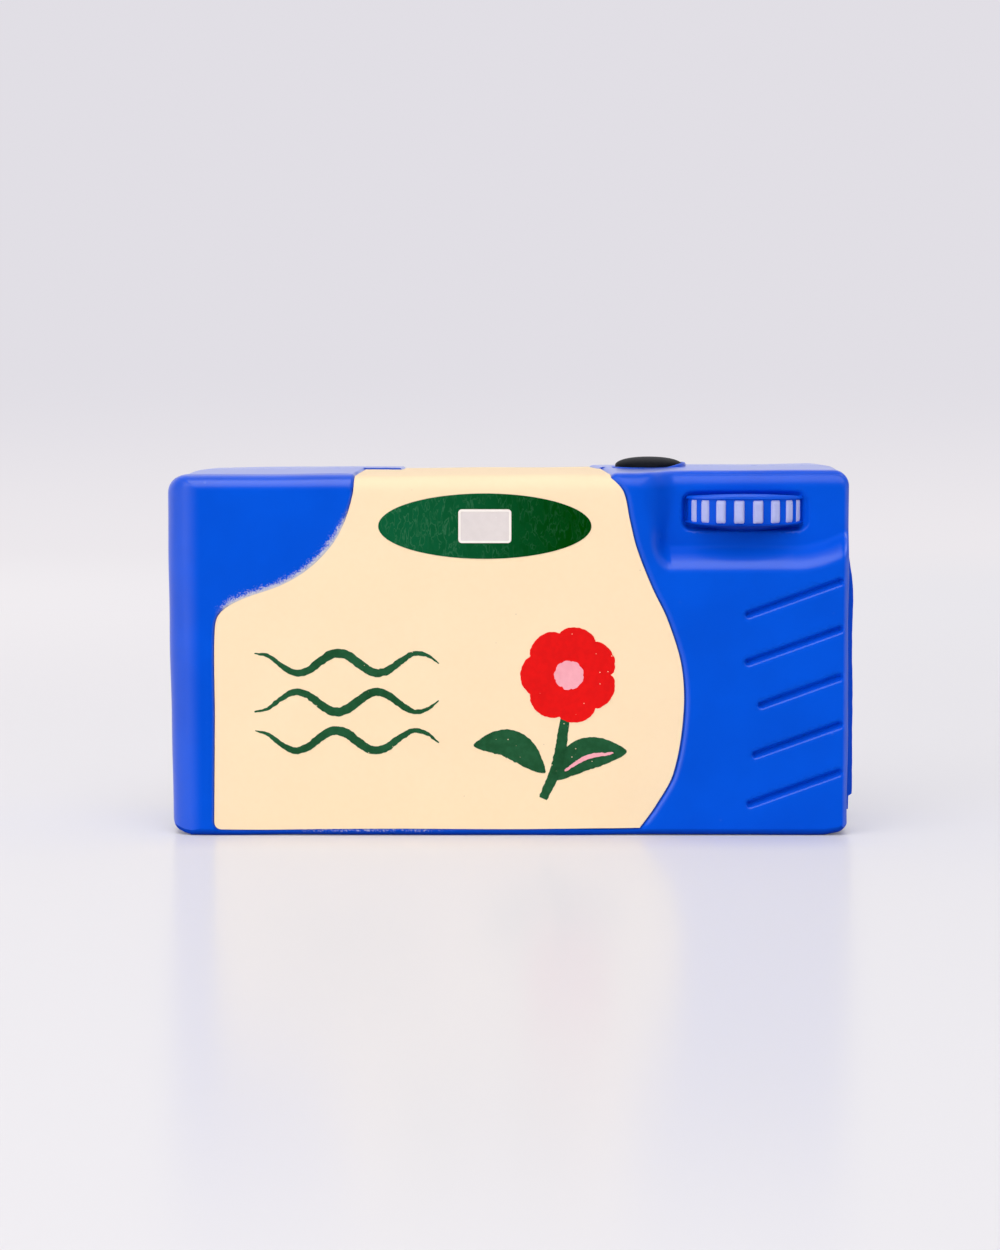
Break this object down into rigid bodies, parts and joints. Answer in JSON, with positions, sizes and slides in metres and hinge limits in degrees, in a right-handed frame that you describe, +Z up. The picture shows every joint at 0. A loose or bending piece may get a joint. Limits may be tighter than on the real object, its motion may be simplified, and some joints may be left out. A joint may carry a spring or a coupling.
{
  "type": "foam squeeze toy",
  "caption": "Slow-rise foam squeeze toy in the shape of a pocket film camera, with a moulded film wheel, a printed finder and a shutter button that presses down",
  "frame": {"origin": "middle of the base that the toy stands on, under the middle of its overall width and depth", "axes": "+X to the right as seen from the eyepiece side, +Y from the eyepiece side to the lens side, +Z up"},
  "size_m": [0.117, 0.038, 0.0632],
  "materials": {
    "open_foam": "matte",
    "blue_skin": "satin",
    "cream_coat": "satin",
    "green_ink": "satin",
    "pale_ink": "satin",
    "white_paint": "satin",
    "black_paint": "satin"
  },
  "bodies": {
    "lens_half": {"foam_core": "open_foam", "lens_side_skin": "blue_skin", "lens_side_coat": "cream_coat", "lens_finder_oval": "green_ink", "lens_finder_window": "pale_ink", "flash_window": "pale_ink", "lens_ring": "blue_skin", "lens_dome": "black_paint", "shutter_riser": "blue_skin"},
    "eyepiece_half": {"eyepiece_side_skin": "blue_skin", "eyepiece_side_coat": "cream_coat", "eyepiece_finder_oval": "green_ink", "eyepiece_finder_window": "pale_ink", "advance_wheel": "blue_skin", "wheel_rib_1": "white_paint", "wheel_rib_2": "white_paint", "wheel_rib_3": "white_paint", "wheel_rib_4": "white_paint", "wheel_rib_5": "white_paint", "wheel_rib_6": "white_paint", "wheel_rib_7": "white_paint", "wheel_rib_8": "white_paint"},
    "shutter": {"shutter_cap": "black_paint"}
  },
  "joints": [
    {"name": "squeeze", "type": "slide", "parent": "lens_half", "child": "eyepiece_half", "axis": [0, 1, 0], "range_m": [0, 0.011], "stiffness_N_per_m": 2500, "deforming": ["foam_core", "eyepiece_side_skin", "eyepiece_side_coat"]},
    {"name": "shutter_press", "type": "slide", "parent": "lens_half", "child": "shutter", "axis": [0, 0, -1], "range_m": [0, 0.0018], "stiffness_N_per_m": 1500, "deforming": ["shutter_riser"]}
  ]
}
